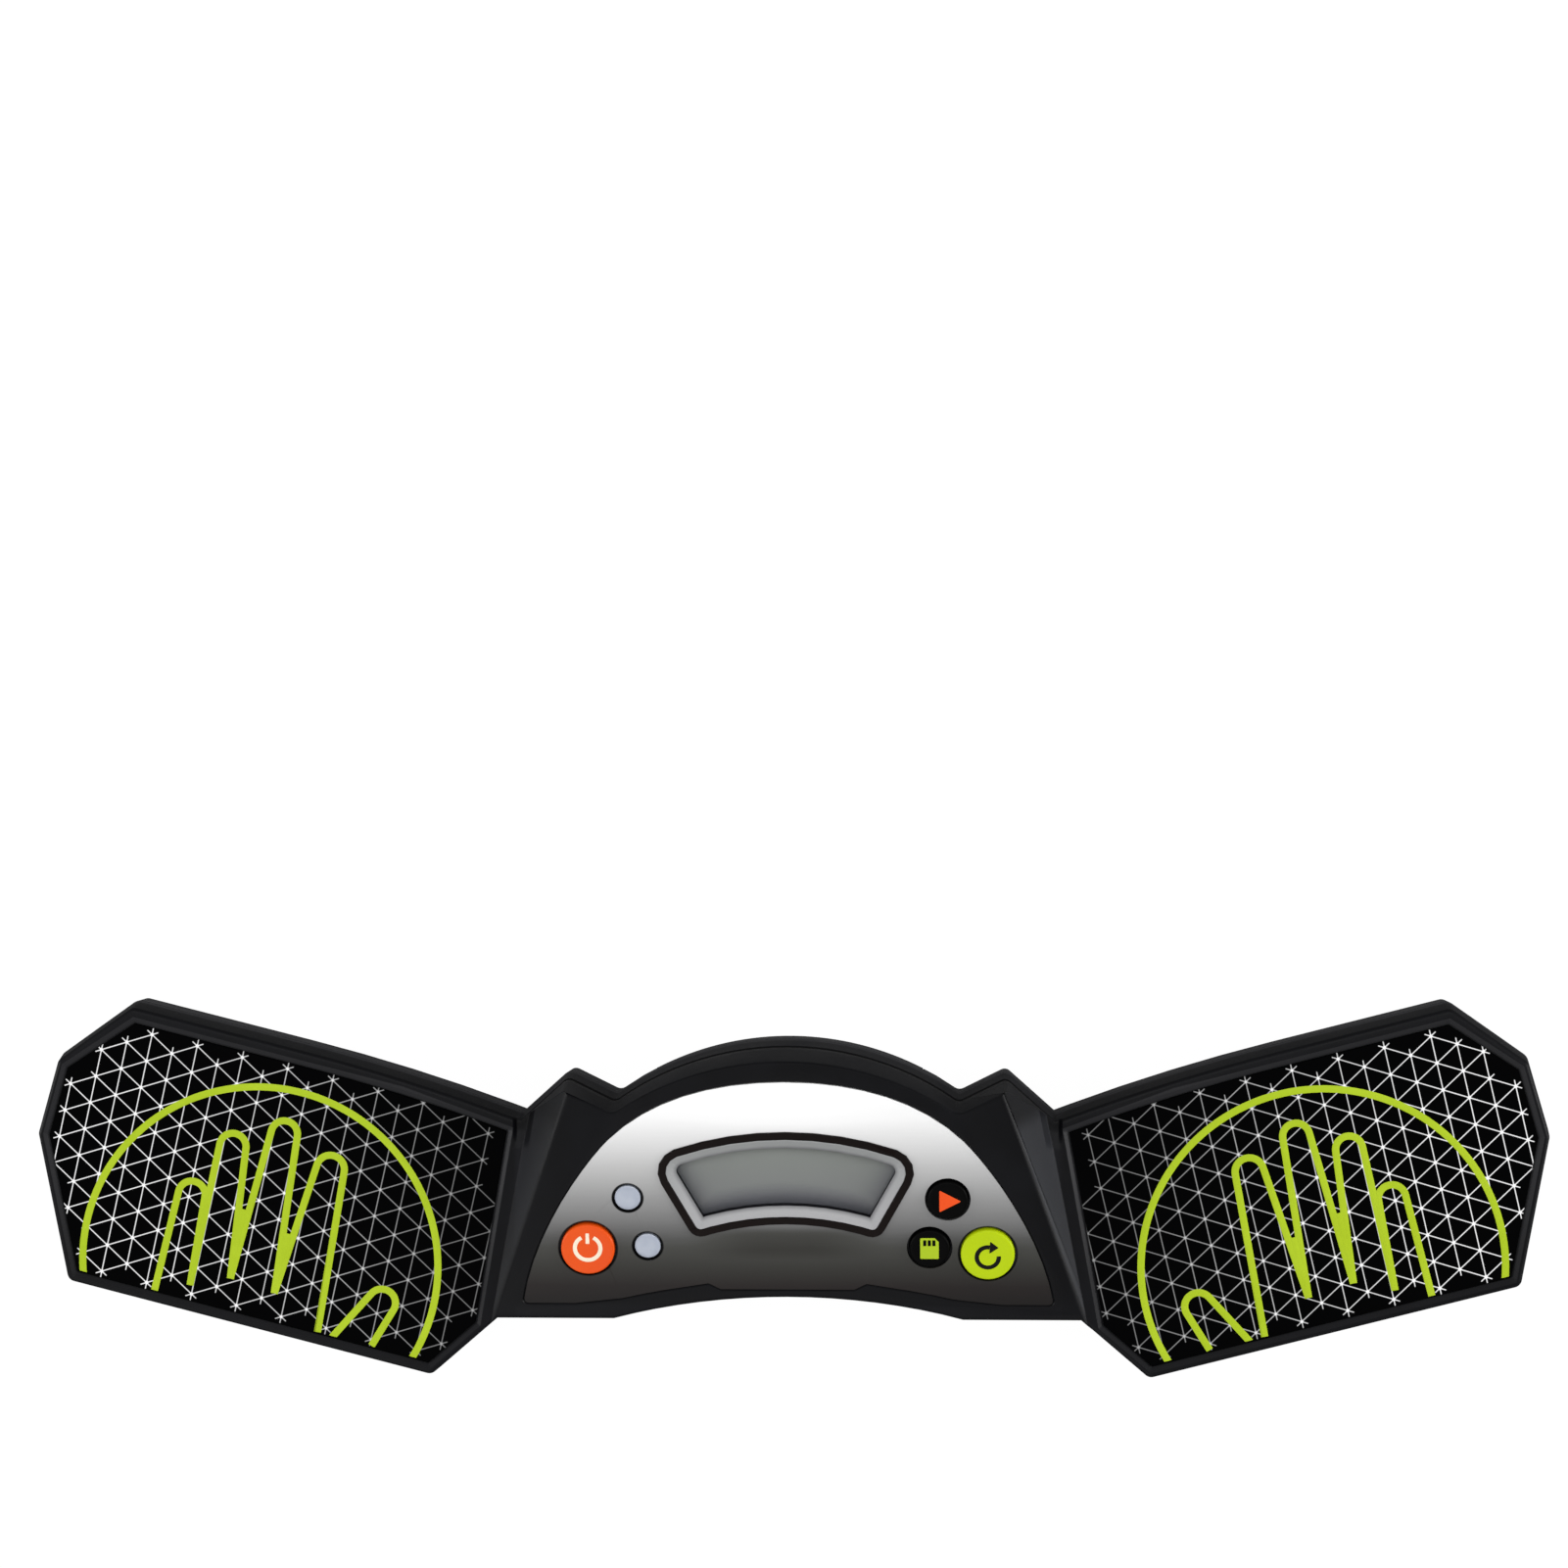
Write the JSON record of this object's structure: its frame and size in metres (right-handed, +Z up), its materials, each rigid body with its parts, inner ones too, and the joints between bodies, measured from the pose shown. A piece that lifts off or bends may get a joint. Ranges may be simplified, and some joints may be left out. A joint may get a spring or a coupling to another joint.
{
  "type": "speed cube timer",
  "caption": "Tabletop speedcubing timer: a sloped console with a display window, push buttons and indicator lamps, between swept touch-pad wings.",
  "frame": {"origin": "on the resting surface, under the centre of the outline", "axes": "+X to the user's right along the wings, +Y away from the user, +Z up"},
  "size_m": [0.2836, 0.0708, 0.025],
  "materials": {
    "shell": "satin black moulded plastic",
    "faceplate": "brushed, shading from bright at the rear to dark at the front",
    "dark_trim": "glossy dark brown",
    "silver_frame": "satin silver",
    "clear_lens": "clear acrylic",
    "display": "blank grey-green liquid crystal glass",
    "white_plastic": "moulded",
    "soft_contact": "layered conductive silicone",
    "circuit_board": "solder mask over copper tracks",
    "black_resin": "moulded",
    "plain_metal": "nickel plated",
    "lamp": "milky diffusing lamp body",
    "orange_key": "moulded, printed sign",
    "lime_key": "moulded, printed sign",
    "black_key": "moulded, printed sign",
    "pad_film": "printed film with a light triangular grid and lime outlines",
    "copper": "bare foil",
    "white_wire": "insulated",
    "red_wire": "insulated",
    "black_wire": "insulated",
    "cell_jacket": "plain jacket",
    "foot_rubber": "matt",
    "ivory_plastic": "moulded",
    "screw_steel": "zinc plated"
  },
  "bodies": {
    "case": {"bottom_cover": "shell", "top_cover": "shell", "faceplate": "faceplate", "window_trim": "dark_trim", "display_bezel": "silver_frame", "display_lens": "clear_lens", "lcd_panel": "display", "lcd_holder": "white_plastic", "zebra_strip": "soft_contact", "main_board": "circuit_board", "processor": "black_resin", "crystal": "plain_metal", "led_upper": "lamp", "led_lower": "lamp", "power_switch": "black_resin", "play_switch": "black_resin", "memory_switch": "black_resin", "reset_switch": "black_resin", "left_pad": "pad_film", "right_pad": "pad_film", "left_touch_plate": "copper", "right_touch_plate": "copper", "left_touch_lead": "white_wire", "right_touch_lead": "white_wire", "battery_front": "cell_jacket", "battery_back": "cell_jacket", "contact_link": "plain_metal", "contact_positive": "plain_metal", "contact_negative": "plain_metal", "battery_lead_red": "red_wire", "battery_lead_black": "black_wire", "foot_left_outer": "foot_rubber", "foot_left_inner": "foot_rubber", "foot_left_console": "foot_rubber", "foot_right_outer": "foot_rubber", "foot_right_inner": "foot_rubber", "foot_right_console": "foot_rubber", "case_screws": "screw_steel", "board_screws": "screw_steel"},
    "battery_door": {"battery_door": "shell"},
    "power_key": {"power_button": "orange_key", "power_plunger": "ivory_plastic"},
    "play_key": {"play_button": "black_key", "play_plunger": "ivory_plastic"},
    "memory_key": {"memory_button": "black_key", "memory_plunger": "ivory_plastic"},
    "reset_key": {"reset_button": "lime_key", "reset_plunger": "ivory_plastic"}
  },
  "joints": [
    {"name": "power_press", "type": "slide", "parent": "case", "child": "power_key", "axis": [0, 0.204, -0.979], "range_m": [0, 0.0006], "stiffness_N_per_m": 1200, "springref_m": -0.0003},
    {"name": "play_press", "type": "slide", "parent": "case", "child": "play_key", "axis": [0, 0.204, -0.979], "range_m": [0, 0.0006], "stiffness_N_per_m": 1200, "springref_m": -0.0003},
    {"name": "memory_press", "type": "slide", "parent": "case", "child": "memory_key", "axis": [0, 0.204, -0.979], "range_m": [0, 0.0006], "stiffness_N_per_m": 1200, "springref_m": -0.0003},
    {"name": "reset_press", "type": "slide", "parent": "case", "child": "reset_key", "axis": [0, 0.204, -0.979], "range_m": [0, 0.0006], "stiffness_N_per_m": 1200, "springref_m": -0.0003},
    {"name": "door_slide", "type": "slide", "parent": "case", "child": "battery_door", "axis": [0, 1, 0], "range_m": [0, 0.024]}
  ]
}
